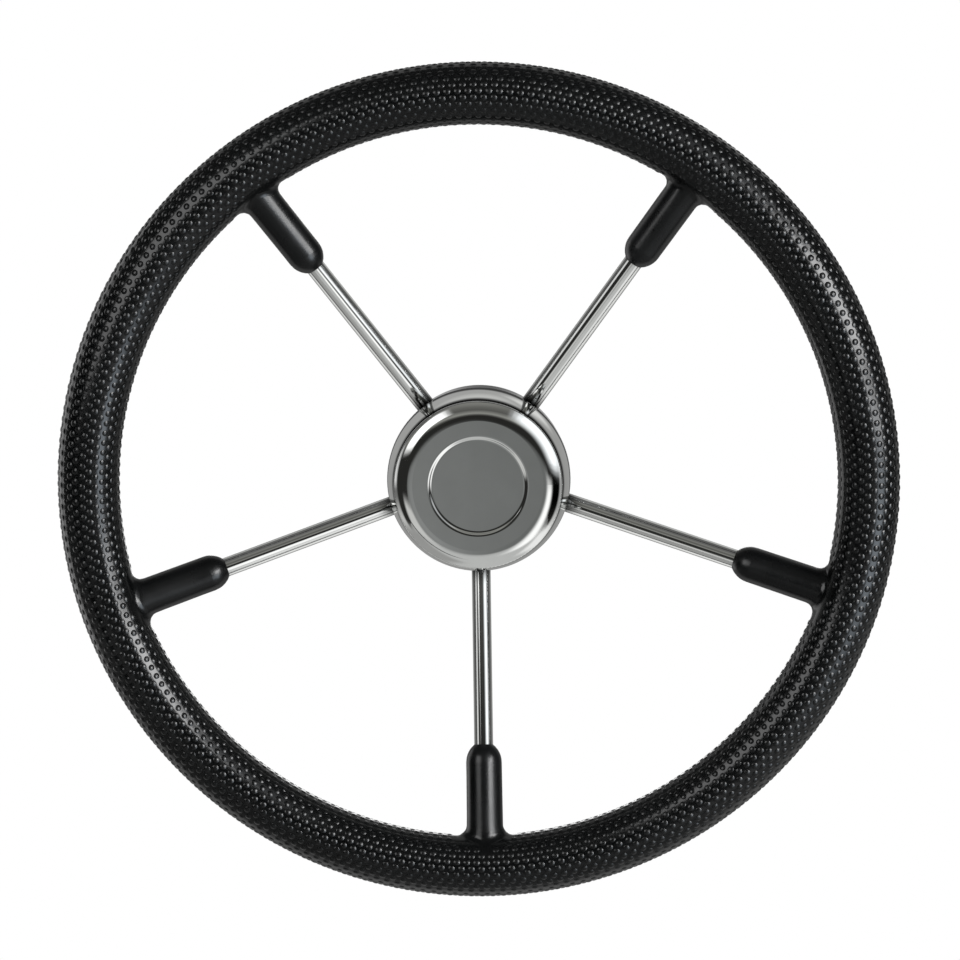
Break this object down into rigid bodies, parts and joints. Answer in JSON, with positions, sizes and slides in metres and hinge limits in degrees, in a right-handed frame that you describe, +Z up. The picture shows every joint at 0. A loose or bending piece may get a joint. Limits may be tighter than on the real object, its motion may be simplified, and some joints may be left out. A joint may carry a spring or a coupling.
{
  "type": "boat steering wheel",
  "caption": "Round boat steering wheel: polished bar spokes lean forward from a drum hub with a plain cap to a black moulded grip with fine raised dots and smooth sleeves.",
  "frame": {"origin": "on the wheel's axis at the rear face of the boss, at the large end of the taper bore", "axes": "+Y along the axis to the rear, out of the bore towards the helm; the front faces -Y; +Z up, with one spoke pointing straight down"},
  "size_m": [0.35, 0.0577, 0.35],
  "materials": {
    "grip": "black moulded elastomer, satin sleeves, fine raised dots on the ring",
    "rim_steel": "plain bent stainless bar, hidden in the grip",
    "spoke_steel": "polished stainless bar",
    "cup_steel": "polished drawn stainless sheet",
    "bezel_steel": "polished pressed stainless sheet",
    "cap_steel": "polished pressed stainless sheet",
    "boss_steel": "turned stainless",
    "seal": "black nitrile"
  },
  "bodies": {
    "root": {"rim_core": "rim_steel", "rim_grip": "grip", "spoke_1": "spoke_steel", "spoke_2": "spoke_steel", "spoke_3": "spoke_steel", "spoke_4": "spoke_steel", "spoke_5": "spoke_steel", "hub_cup": "cup_steel", "hub_boss": "boss_steel", "hub_bezel": "bezel_steel", "hub_cap": "cap_steel", "cap_ring": "seal"}
  },
  "joints": []
}
